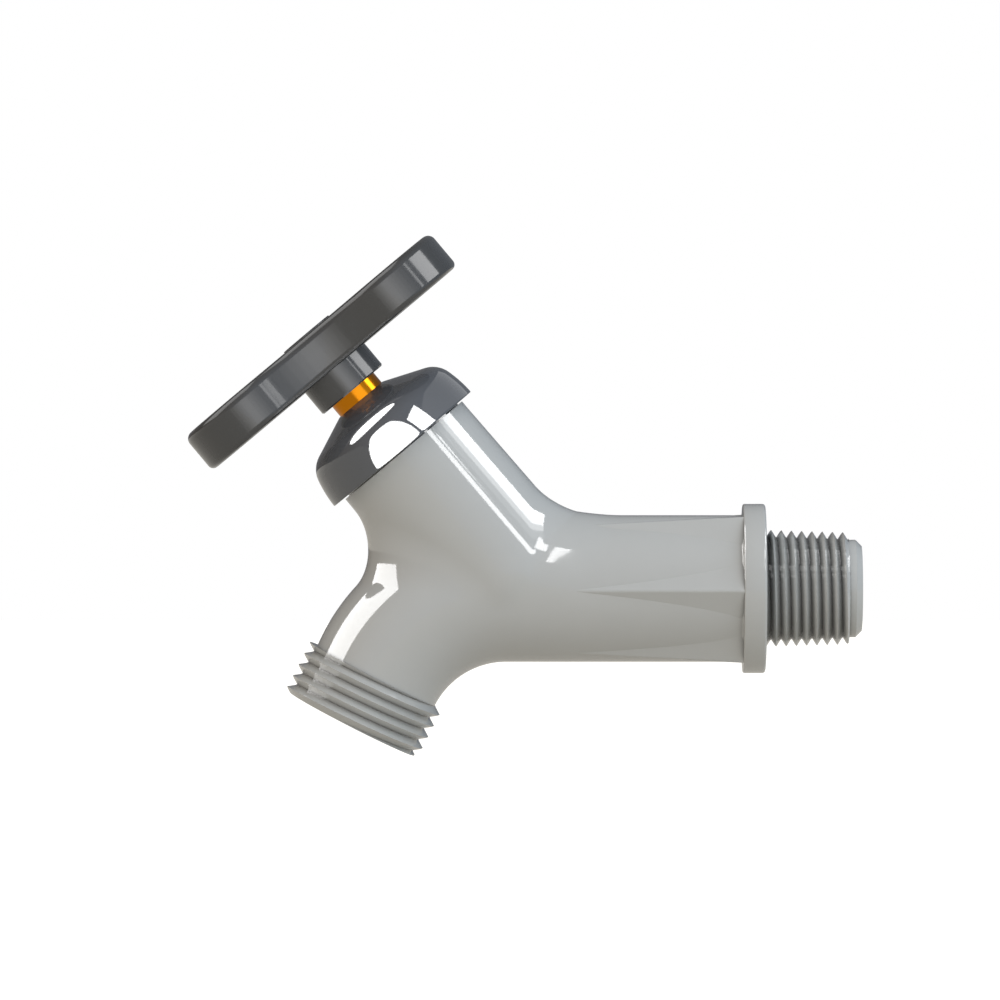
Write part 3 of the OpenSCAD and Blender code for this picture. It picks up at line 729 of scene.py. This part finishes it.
def cap_profile(head):
    """The cap's turned profile: crowned skirt, shoulder, conical top, and down the inside."""
    fall = math.tan(math.radians(CAP_SLOPE))
    collar_r = head.stem_r + COLLAR_GAP
    collar_bevel = 0.08
    top_r = collar_r + 0.2
    foot_h = 0.15
    lean = math.radians(SKIRT_FOOT)
    skirt_r = head.cap_r - head.skirt_crown_r * math.cos(lean)
    skirt_h = foot_h - head.skirt_crown_r * math.sin(lean)
    # The shoulder's arc touches both the skirt's arc and the conical top
    top = head.cap_h + top_r * fall - head.cap_shoulder_r / math.cos(math.radians(CAP_SLOPE)) - skirt_h
    spare = head.skirt_crown_r - head.cap_shoulder_r
    a = 1 + fall * fall
    b = skirt_r + top * fall
    centre_r = (b + math.sqrt(b * b - a * (skirt_r ** 2 + top ** 2 - spare ** 2))) / a
    centre_h = skirt_h + top - centre_r * fall
    meet = math.degrees(math.atan2(centre_h - skirt_h, centre_r - skirt_r))
    shoulder = arc((skirt_r, skirt_h), head.skirt_crown_r, SKIRT_FOOT, meet, 16)[:-1]
    shoulder += arc((centre_r, centre_h), head.cap_shoulder_r, meet, 90 - CAP_SLOPE, 24)
    # Rooms inside for the gland ring, the guide's packing box and the body's neck
    gland_r, gland_top = 7.3, 8.3
    box_r, box_top = 9.4, 7.3
    neck_r, neck_top = 12.7, 5.2
    inside = [(collar_r, head.cap_h - 0.1), (collar_r, gland_top), (gland_r, gland_top),
              (gland_r, box_top), (box_r, box_top), (box_r, neck_top), (neck_r, neck_top), (neck_r, 0)]
    foot = [(head.cap_r - 0.15, 0), (head.cap_r - 0.04, 0.04)]
    rim = [(top_r, head.cap_h - 0.02), (collar_r + collar_bevel, head.cap_h)]
    return foot + shoulder + rim + inside


# The stem's square, the handle's play round it, and the room over it for the handle's screw
SQUARE_HALF = 3.3
SQUARE_H = 8
SQUARE_GAP = 0.05
SCREW_GAP = 0.3


def hub_foot(head):
    """Height of the hub's foot on the stem's axis."""
    return CAP_S + head.cap_h + head.stem_show


def stem_mesh(head):
    """Turned brass stem with its thread, its square and its two bores."""
    hub_s = hub_foot(head)
    square_top = hub_s + SQUARE_H
    foot, foot_r = 14, 4.9
    thread_r, thread_foot, thread_top = 5.5, 14.7, 28.3
    neck = 29.05
    turned_part = turned("stem", [
        (0, foot), (foot_r, foot), (thread_r, thread_foot), (thread_r, thread_top),
        (head.stem_r, neck), (head.stem_r, hub_s), (0, hub_s)], ALONG_STEM, 128)
    square = box_mesh("square", (-SQUARE_HALF, -SQUARE_HALF, hub_s - 1),
                      (SQUARE_HALF, SQUARE_HALF, square_top), ALONG_STEM)
    # A blind socket for the jumper's spindle, and a tapped hole for the handle's screw
    socket_r, socket_top = 3, 23.45
    socket = turned("socket", [(0, foot - 1), (socket_r, foot - 1), (socket_r, socket_top),
                               (0, socket_top)], ALONG_STEM, 96)
    tapped_r, tapped_foot = 1.95, hub_s - 0.5
    tapped = turned("tapped", [(0, tapped_foot), (tapped_r, tapped_foot), (tapped_r, square_top + 1),
                               (0, square_top + 1)], ALONG_STEM, 96)
    return joined("stem", turned_part, [
        ("UNION", square), ("DIFFERENCE", socket), ("DIFFERENCE", tapped)])


def handle_outline(head, inset):
    """The handle's outline: two lobes joined by concave arcs that are tangent to both."""
    rise = math.sqrt((head.lobe_r + head.scallop_r) ** 2 - head.lobe_reach ** 2)
    end = 180 - math.degrees(math.atan2(rise, head.lobe_reach))
    lobe = head.lobe_r - inset
    hollow = head.scallop_r + inset
    waist = 180 - end
    points = arc((head.lobe_reach, 0), lobe, -end, end, 96)
    points += arc((0, rise), hollow, -waist, -end, 36)[1:-1]
    points += arc((-head.lobe_reach, 0), lobe, waist, 360 - waist, 96)
    points += arc((0, -rise), hollow, end, waist, 36)[1:-1]
    return np.array(points)


def handle_mesh(head):
    """The handle: a plate with rounded edges on a round hub, over the stem's square."""
    hub_s = hub_foot(head)
    foot_s = hub_s + head.hub_h
    top_s = foot_s + head.handle_t
    turns = np.radians(np.linspace(0, 90, 9))
    levels = [(head.foot_round * (1 - math.sin(t)), foot_s + head.foot_round * (1 - math.cos(t)))
              for t in turns]
    levels += [(head.top_round * (1 - math.sin(t)), top_s - head.top_round * (1 - math.cos(t)))
               for t in turns[::-1]]
    rings = []
    for inset, height in levels:
        outline = handle_outline(head, inset)
        rings.append(np.column_stack((outline, np.full(len(outline), height))))
    plate = mesh_of_rings("plate", [rings])
    plate.transform(scaled(ALONG_STEM))
    # The hub runs on into the plate
    bevel, into_plate = 0.25, 2
    hub = turned("hub", [(0, hub_s), (head.hub_r - bevel, hub_s), (head.hub_r, hub_s + bevel),
                         (head.hub_r, foot_s + into_plate), (0, foot_s + into_plate)],
                 ALONG_STEM, 128)
    seat_s = hub_s + SQUARE_H + SCREW_GAP
    half = SQUARE_HALF + SQUARE_GAP
    square = box_mesh("square", (-half, -half, hub_s - 1), (half, half, seat_s + 1), ALONG_STEM)
    hole_r = head.plug_r - 0.25
    hole = turned("hole", [(0, seat_s), (hole_r, seat_s), (hole_r, top_s + 1), (0, top_s + 1)],
                  ALONG_STEM, 128)
    return joined("handle", plate, [("UNION", hub), ("DIFFERENCE", square), ("DIFFERENCE", hole)])


def plug_profile(head):
    """The button that closes the handle's screw hole, with its shallow crowned disc."""
    top_s = hub_foot(head) + head.hub_h + head.handle_t
    edge = head.plug_h / 2
    crown_h = 0.04
    crown = [(r, top_s + head.plug_h - crown_h * (r / head.plug_r) ** 2) for r in (4, 3, 2, 1, 0)]
    # The plug's stem ends just over the head of the handle's screw
    stem_r, stem_foot = head.plug_r - 0.35, hub_foot(head) + 11.2
    stem = [(0, stem_foot), (stem_r, stem_foot), (stem_r, top_s), (head.plug_r, top_s)]
    return stem + arc((head.plug_r - edge, top_s + edge), edge, 0, 80, 5) + crown


def material(name):
    """An empty node material."""
    made = bpy.data.materials.new(name)
    made.use_nodes = True
    made.node_tree.nodes.clear()
    return made, made.node_tree


def moulded(name, colour, roughness, grain_depth, flow=0.03, coat=0.0, specular=0.5, painted_groove_shade=()):
    """Injection-moulded plastic: faint flow marks in the colour, uneven gloss and a fine skin, with
    painted shade in narrow grooves where asked.
    """
    made, tree = material(name)
    where = add_node(tree, "ShaderNodeTexCoord").outputs["Object"]
    # Flow marks of the melt are about 9 mm long and barely lighter or darker
    marks = add_node(tree, "ShaderNodeTexNoise",
                     {"Vector": where, "Scale": 1 / (9 * MM), "Detail": 3.0, "Roughness": 0.55})
    shade = add_node(tree, "ShaderNodeMapRange", {
        "Value": marks.outputs[0], "From Min": 0.3, "From Max": 0.7,
        "To Min": 1 - flow, "To Max": 1 + flow})
    level = shade.outputs[0]
    if painted_groove_shade:
        # Painted shade: ambient occlusion darkens the colour in grooves narrower than about 2 mm. The
        # colour is left as it is where the skin is more open than a share. The share is given for the
        # whole body, and higher for the inlet's finer thread, which gets deeper painted shade
        whole, inlet = painted_groove_shade
        along = add_node(tree, "ShaderNodeSeparateXYZ", {0: where})
        unshaded_from = add_node(tree, "ShaderNodeMapRange", {
            "Value": along.outputs[0], "From Min": -10 * MM, "From Max": -4 * MM,
            "To Min": whole, "To Max": inlet})
        shelter = add_node(tree, "ShaderNodeAmbientOcclusion", {"Distance": 2 * MM}, samples=8)
        depth = add_node(tree, "ShaderNodeMapRange", {
            "Value": shelter.outputs["AO"], "From Min": 0.25, "From Max": unshaded_from.outputs[0],
            "To Min": 0.05, "To Max": 1.0})
        level = add_node(tree, "ShaderNodeMath", {0: level, 1: depth.outputs[0]},
                         operation="MULTIPLY").outputs[0]
    toned = add_node(tree, "ShaderNodeVectorMath", {0: colour[:3], "Scale": level},
                     operation="SCALE")
    # Mould polish is uneven over about 3 mm
    polish = add_node(tree, "ShaderNodeTexNoise",
                      {"Vector": where, "Scale": 1 / (3 * MM), "Detail": 2.0})
    gloss = add_node(tree, "ShaderNodeMapRange", {
        "Value": polish.outputs[0], "From Min": 0.3, "From Max": 0.7,
        "To Min": roughness * 0.85, "To Max": roughness * 1.2})
    # The skin's grain is finer than this in life, and is drawn at 0.5 mm so that it shows
    grain = add_node(tree, "ShaderNodeTexNoise",
                     {"Vector": where, "Scale": 1 / (0.5 * MM), "Detail": 2.0})
    skin = add_node(tree, "ShaderNodeBump", {
        "Height": grain.outputs[0], "Strength": 1.0, "Distance": grain_depth * MM})
    surface = add_node(tree, "ShaderNodeBsdfPrincipled", {
        "Base Color": toned.outputs[0], "Roughness": gloss.outputs[0], "IOR": 1.5,
        "Specular IOR Level": specular, "Coat Weight": coat, "Coat Roughness": 0.03,
        "Normal": skin.outputs[0]})
    add_node(tree, "ShaderNodeOutputMaterial", {"Surface": surface.outputs[0]})
    return made


# A wave texture's bands lie this far apart at a scale of 1
WAVE_STEP = 0.31


def turned_metal(name, colour, roughness, lines_mm, depth):
    """Turned metal: fine lathe lines round the stem's axis, and small differences of polish."""
    made, tree = material(name)
    where = add_node(tree, "ShaderNodeTexCoord").outputs["Object"]
    level = add_node(tree, "ShaderNodeMapping", {
        "Vector": where, "Rotation": (0, math.radians(90 - STEM_TILT), 0)})
    # Tool marks are finer than this in life, and are drawn wide enough to show
    lines = add_node(tree, "ShaderNodeTexWave", {
        "Vector": level.outputs[0], "Scale": WAVE_STEP / (lines_mm * MM), "Distortion": 0.6,
        "Detail": 1.0}, wave_type="BANDS", bands_direction="Z")
    polish = add_node(tree, "ShaderNodeTexNoise",
                      {"Vector": where, "Scale": 1 / (1.5 * MM), "Detail": 3.0})
    gloss = add_node(tree, "ShaderNodeMapRange", {
        "Value": polish.outputs[0], "From Min": 0.3, "From Max": 0.7,
        "To Min": roughness * 0.8, "To Max": roughness * 1.3})
    groove = add_node(tree, "ShaderNodeBump", {
        "Height": lines.outputs["Fac"], "Strength": 1.0, "Distance": depth * MM})
    surface = add_node(tree, "ShaderNodeBsdfPrincipled", {
        "Base Color": colour, "Metallic": 1.0, "Roughness": gloss.outputs[0],
        "Normal": groove.outputs[0]})
    add_node(tree, "ShaderNodeOutputMaterial", {"Surface": surface.outputs[0]})
    return made


def make_finishes(colours):
    """Every material of the faucet, by the finish's own name."""
    pick = {name: list(getattr(colours, name)) for name in
            ("body", "cap", "handle", "plug", "guide", "brass", "rubber", "steel")}
    return {
        # Polished moulding: soft pale grey with crisp reflections of the lamps
        # The last pair sets the painted shade in the grooves, for the whole body and for the inlet's
        # thread
        "body": moulded("Moulded PVC gloss", pick["body"], 0.07, 0.002, 0.012, 0.6, 0.8, (0.57, 0.82)),
        # The same polish on a dark compound, so that the reflections stand out
        "cap": moulded("Moulded ABS gloss dark", pick["cap"], 0.05, 0.002, 0.03, 0.5, 0.8),
        # Satin moulding: highlights spread wide and soft
        "handle": moulded("Moulded nylon satin", pick["handle"], 0.15, 0.002, 0.02, 0.5, 0.6),
        "plug": moulded("Moulded nylon plug", pick["plug"], 0.16, 0.003, 0.02),
        "guide": moulded("Moulded acetal", pick["guide"], 0.3, 0.004, 0.03),
        # Nitrile rubber: nearly black and dull
        "rubber": moulded("Nitrile rubber", pick["rubber"], 0.6, 0.02, 0.1),
        # Bright turned brass: warm reflections broken by tool marks
        "brass": turned_metal("Turned brass", pick["brass"], 0.16, 0.35, 0.002),
        "steel": turned_metal("Turned stainless steel", pick["steel"], 0.3, 0.3, 0.002),
    }


trees = {}
finishes = {}


class FAUCET_OT_finishes(bpy.types.Operator):
    """Make the node trees and the materials"""
    bl_idname = "faucet.finishes"
    bl_label = "Finishes"

    def execute(self, context):
        trees.update(turned=turned_tree(), thread=thread_tree())
        finishes.update(make_finishes(context.scene.faucet_finishes))
        return {"FINISHED"}


class FAUCET_OT_body(bpy.types.Operator):
    """Make the moulded body with its threads, hexagon grip and waterway"""
    bl_idname = "faucet.body"
    bl_label = "Body"

    def execute(self, context):
        mesh = body_mesh(in_mm(context.scene.faucet_body))
        show_piece("faucet_body", mesh, finishes["body"], "valve_body", ["body"])
        return {"FINISHED"}


class FAUCET_OT_cap(bpy.types.Operator):
    """Make the dark cap that is screwed over the body's neck"""
    bl_idname = "faucet.cap"
    bl_label = "Cap"

    def execute(self, context):
        head = in_mm(context.scene.faucet_head)
        place = ALONG_STEM @ Matrix.Translation((0, 0, CAP_S))
        mesh = smooth_turned(turned("cap", cap_profile(head), place, 240))
        show_piece("cap_shell", mesh, finishes["cap"], "valve_body", ["bonnet_cap"])
        return {"FINISHED"}


class FAUCET_OT_stem(bpy.types.Operator):
    """Make the turned brass stem"""
    bl_idname = "faucet.stem"
    bl_label = "Stem"

    def execute(self, context):
        mesh = stem_mesh(in_mm(context.scene.faucet_head))
        show_piece("stem_shaft", mesh, finishes["brass"], "stem_set", ["stem"])
        return {"FINISHED"}


class FAUCET_OT_handle(bpy.types.Operator):
    """Make the two-lobed handle and the plug over its screw"""
    bl_idname = "faucet.handle"
    bl_label = "Handle"

    def execute(self, context):
        head = in_mm(context.scene.faucet_head)
        show_piece("handle_grip", handle_mesh(head), finishes["handle"], "stem_set",
                   ["handle"])
        plug = smooth_turned(turned("plug", plug_profile(head), ALONG_STEM, 128))
        show_piece("screw_plug", plug, finishes["plug"], "stem_set",
                   ["handle_plug"])
        return {"FINISHED"}


INSIDE = {
    "stem_guide": "guide", "guide_gasket": "rubber", "packing_washer": "brass",
    "stem_packing": "rubber", "gland_ring": "guide", "jumper": "brass", "seat_washer": "rubber",
    "washer_plate": "steel", "washer_screw": "steel", "handle_screw": "steel",
    "handle_lock_washer": "steel",
}


class FAUCET_OT_inside(bpy.types.Operator):
    """Give the head works and screws, which keep their solids, their finishes"""
    bl_idname = "faucet.inside"
    bl_label = "Head works"

    def execute(self, context):
        for name, finish in INSIDE.items():
            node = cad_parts[name]
            node.data.materials.clear()
            node.data.materials.append(finishes[finish])
        return {"FINISHED"}


# In metres: how far the camera stands, how much it sees across, and what it looks at
CAMERA_DISTANCE = 1.6
FRAME_WIDTH = 0.1773
AIM = Vector((-0.047, 0, 0.0157))
CAMERA_RISE = math.radians(1.3)
SENSOR = 36
# How far most lamps stand, in metres
LAMP_DISTANCE = 0.9
# Radiance of the lamps that show as plain white, and of those in the cap
WHITE = 6
CAP_WHITE = 13
# Middle of the handle's plate, on the stem's axis
GRIP_S = 54.9


def heading_of(rise, turn):
    """Direction that rises along the stem and turns from the camera's side to its right."""
    up, side = math.radians(rise), math.radians(turn)
    level = math.cos(side) * FRONT + math.sin(side) * STEM_SIDE
    return math.sin(up) * STEM_DIR + math.cos(up) * level


def area_lamp(name, place, back, across, size, radiance, shape, only):
    """An area lamp of a given radiance, which shows in the gloss of some pieces alone."""
    side = (across - across.dot(back) * back).normalized()
    up = back.cross(side)
    lamp = bpy.data.lights.new(name, "AREA")
    lamp.shape = shape
    lamp.size, lamp.size_y = size
    area = lamp.size * lamp.size_y * (math.pi / 4 if shape == "ELLIPSE" else 1)
    lamp.energy = radiance * math.pi * area
    holder = bpy.data.objects.new(name, lamp)
    rotation = Matrix((side, up, back)).transposed().to_4x4()
    holder.matrix_world = Matrix.Translation(place) @ rotation
    holder.visible_camera = False
    holder.visible_diffuse = False
    bpy.context.scene.collection.objects.link(holder)
    lit = bpy.data.collections.new(name + " receivers")
    for piece in only:
        lit.objects.link(bpy.data.objects[piece])
    holder.light_linking.receiver_collection = lit
    return holder


def softbox(name, direction, across, width, height, radiance, only, centre=AIM,
            reach=LAMP_DISTANCE):
    """A lamp that fills a width along one direction and a height, both as angles."""
    back = direction.normalized()
    size = [2 * reach * math.tan(math.radians(angle / 2)) for angle in (width, height)]
    place = centre + back * reach
    return area_lamp(name, place, back, across, size, radiance, "RECTANGLE", only)


def cap_lamp(name, place, back, across, size, shape):
    """A small lamp close to the cap: its place is side, front and rise from the cap's foot in mm."""
    side, front, rise = place
    foot = Vector((-CROSSING, 0, 0)) + CAP_S * STEM_DIR
    spot = (foot + side * STEM_SIDE + front * FRONT + rise * STEM_DIR) * MM
    size = [extent * MM for extent in size]
    return area_lamp(name, spot, back, across, size, CAP_WHITE, shape, ["cap_shell"])


def body_lamps():
    """The body's crisp reflections: strips on the upper leg, two in the fillet, one on the elbow."""
    only = ["faucet_body"]
    up = STEM_DIR
    softbox("side_strip", heading_of(-2.5, 49.2), up, 11, 7, WHITE, only)
    softbox("side_panel", heading_of(1, 92.5), up, 22, 21, WHITE, only)
    # Two fainter lamps soften the panel's edge
    softbox("side_glow", heading_of(1, 78), up, 22, 8, 2.6, only)
    softbox("side_fade", heading_of(1, 69), up, 22, 10, 0.6, only)
    level = Vector((1, 0, 0))
    softbox("fillet_bar", Vector((0.465, -0.551, 0.693)), level, 22, 12, WHITE, only)
    softbox("fillet_square", Vector((0.2, -0.704, 0.68)), level, 3, 26, WHITE, only)
    softbox("left_panel", heading_of(77.5, -80), FRONT, 44, 60, WHITE, only)


def handle_lamps():
    """The handle's soft reflections: a panel and a strip on its edge, and pale middles."""
    only = ["handle_grip", "screw_plug"]
    up = STEM_DIR
    softbox("grip_panel", heading_of(1, 75.5), up, 24, 31, 3.8, only)
    softbox("grip_strip", heading_of(0, 47.8), up, 24, 4, 3, only)
    softbox("grip_top", heading_of(77.5, -80), FRONT, 44, 60, 1.6, only)
    # Smaller lamps before larger ones brighten the middle and leave no hard edge. Each stands a
    # little further off, because a reflection shows only one of the lamps in a plane
    middle = (Vector((-CROSSING, 0, 0)) + GRIP_S * up) * MM
    for width in (14, 26, 38, 50, 64):
        softbox(f"grip_fill_{width}", heading_of(0, 2 + width / 10), up, 18, width, 0.3,
                only, centre=middle, reach=0.22 + 0.001 * width)


def stem_lamps():
    """A bright line and a soft middle on the brass stem."""
    only = ["stem_shaft"]
    softbox("stem_line", heading_of(0, 77), STEM_DIR, 30, 22, 4.5, only)
    softbox("stem_fill", heading_of(0, 14), STEM_DIR, 40, 50, 1.0, only)


def cap_lamps():
    """The cap's crisp reflections: half a disc and a bar on its skirt, a crescent on its top."""
    cap_lamp("cap_disc", (-2.6, 30, 1), FRONT, STEM_SIDE, (32.4, 29.8), "ELLIPSE")
    slant = heading_of(0, 135) + 0.21 * STEM_DIR
    cap_lamp("cap_bar", (17, 24.65, 3.26), heading_of(8, 45), slant, (8.8, 14.3), "RECTANGLE")
    slant = heading_of(0, 80) + 1.1 * STEM_DIR
    cap_lamp("cap_top", (-3.35, 15.46, 20.3), heading_of(76, -10), slant, (25, 10.5), "ELLIPSE")
    softbox("cap_side", heading_of(10, 104), STEM_DIR, 32, 90, 0.4, ["cap_shell"])


def make_world():
    """White behind the object, cool light from the right and warm from the left."""
    world = bpy.data.worlds.new("Studio")
    world.use_nodes = True
    tree = world.node_tree
    tree.nodes.clear()
    direction = add_node(tree, "ShaderNodeTexCoord").outputs["Generated"]
    parts = add_node(tree, "ShaderNodeSeparateXYZ", {0: direction})
    side = add_node(tree, "ShaderNodeMapRange", {
        "Value": parts.outputs[0], "From Min": -1.0, "From Max": 1.0})
    warm_left = (0.73, 0.62, 0.52, 1)
    cool_right = (1.18, 1.35, 1.58, 1)
    light = add_node(tree, "ShaderNodeValToRGB", {0: side.outputs[0]})
    light.color_ramp.elements[0].color = warm_left
    light.color_ramp.elements[1].color = cool_right

    def toned(back, front):
        """The light's colour, with one strength behind the object and one before it."""
        level = add_node(tree, "ShaderNodeMapRange", {
            "Value": parts.outputs[1], "From Min": 0.5, "From Max": -1.0,
            "To Min": back, "To Max": front}, interpolation_type="SMOOTHSTEP")
        return add_node(tree, "ShaderNodeVectorMath", {
            0: light.outputs[0], "Scale": level.outputs[0]}, operation="SCALE").outputs[0]

    def choose(factor, a, b):
        """Colour a where the factor is 0, and colour b where it is 1."""
        # A colour mix keeps its two colours in its inputs 6 and 7
        return add_node(tree, "ShaderNodeMix", {0: factor, 6: a, 7: b}, data_type="RGBA").outputs[2]

    rays = add_node(tree, "ShaderNodeLightPath").outputs
    lit = toned(0.8, 1.4)
    # Gloss reflects a darker room, so that the lamps stand out in it
    mirrored = toned(0.16, 0.5)
    seen = choose(rays["Is Glossy Ray"], lit, mirrored)
    shown = choose(rays["Is Camera Ray"], seen, (1, 1, 1, 1))
    sky = add_node(tree, "ShaderNodeBackground", {"Color": shown, "Strength": 1.0})
    add_node(tree, "ShaderNodeOutputWorld", {"Surface": sky.outputs[0]})
    bpy.context.scene.world = world


def make_floor():
    """A plain floor under the faucet: white to the camera, and it keeps the soft shadow."""
    mesh = bpy.data.meshes.new("floor")
    # In metres: the floor lies below the outlet, as under a faucet that hangs on a wall
    half = 2.0
    height = -0.078
    mesh.from_pydata([(-half, -half, height), (half, -half, height), (half, half, height),
                      (-half, half, height)], [], [(0, 1, 2, 3)])
    made, tree = material("Matt paper")
    rays = add_node(tree, "ShaderNodeLightPath")
    paper = add_node(tree, "ShaderNodeBsdfDiffuse", {"Color": linear("#C0BAAE")})
    # What the paper lacks of white under this light is added for the camera alone
    missing_white = 0.72
    fade = add_node(tree, "ShaderNodeMath", {0: rays.outputs["Is Camera Ray"], 1: missing_white},
                    operation="MULTIPLY")
    glow = add_node(tree, "ShaderNodeEmission", {"Color": (1, 1, 1, 1), "Strength": fade.outputs[0]})
    both = add_node(tree, "ShaderNodeAddShader", {0: paper.outputs[0], 1: glow.outputs[0]})
    add_node(tree, "ShaderNodeOutputMaterial", {"Surface": both.outputs[0]})
    mesh.materials.append(made)
    floor = bpy.data.objects.new("floor", mesh)
    bpy.context.scene.collection.objects.link(floor)


def make_camera():
    """The camera at the photograph's place, with a long lens."""
    lens = bpy.data.cameras.new("Camera")
    lens.sensor_width = SENSOR
    lens.lens = SENSOR * CAMERA_DISTANCE / FRAME_WIDTH
    lens.clip_start = 0.01
    lens.clip_end = 20
    camera = bpy.data.objects.new("Camera", lens)
    back = Vector((0, -math.cos(CAMERA_RISE), math.sin(CAMERA_RISE)))
    camera.location = AIM + back * CAMERA_DISTANCE
    camera.rotation_euler = (-back).to_track_quat("-Z", "Y").to_euler()
    bpy.context.scene.collection.objects.link(camera)
    bpy.context.scene.camera = camera


class FAUCET_OT_stage(bpy.types.Operator):
    """Make the floor, the lamps, the camera and the white surroundings"""
    bl_idname = "faucet.stage"
    bl_label = "Stage"

    def execute(self, context):
        make_camera()
        make_floor()
        make_world()
        body_lamps()
        handle_lamps()
        stem_lamps()
        cap_lamps()
        context.scene.view_settings.view_transform = "Standard"
        return {"FINISHED"}


class FAUCET_PT_panel(bpy.types.Panel):
    """The faucet's sizes and colours, and the steps that make it"""
    bl_label = "Hose faucet"
    bl_idname = "FAUCET_PT_panel"
    bl_space_type = "VIEW_3D"
    bl_region_type = "UI"
    bl_category = "Faucet"

    def draw(self, context):
        scene = context.scene
        for group in (scene.faucet_body, scene.faucet_head, scene.faucet_finishes):
            box = self.layout.box()
            for name in group.__annotations__:
                box.prop(group, name)
        for step in STEPS:
            self.layout.operator(step.bl_idname)


GROUPS = (BodySizes, HeadSizes, Finishes)
STEPS = (FAUCET_OT_finishes, FAUCET_OT_body, FAUCET_OT_cap, FAUCET_OT_stem, FAUCET_OT_handle,
         FAUCET_OT_inside, FAUCET_OT_stage)
CLASSES = GROUPS + STEPS + (FAUCET_PT_panel,)


def register():
    for item in CLASSES:
        bpy.utils.register_class(item)
    bpy.types.Scene.faucet_body = bpy.props.PointerProperty(type=BodySizes)
    bpy.types.Scene.faucet_head = bpy.props.PointerProperty(type=HeadSizes)
    bpy.types.Scene.faucet_finishes = bpy.props.PointerProperty(type=Finishes)


def unregister():
    del bpy.types.Scene.faucet_body
    del bpy.types.Scene.faucet_head
    del bpy.types.Scene.faucet_finishes
    for item in reversed(CLASSES):
        bpy.utils.unregister_class(item)


def main():
    """Make the faucet and its stage."""
    register()
    bpy.ops.faucet.finishes()
    bpy.ops.faucet.body()
    bpy.ops.faucet.cap()
    bpy.ops.faucet.stem()
    bpy.ops.faucet.handle()
    bpy.ops.faucet.inside()
    bpy.ops.faucet.stage()


if __name__ == "__main__":
    main()
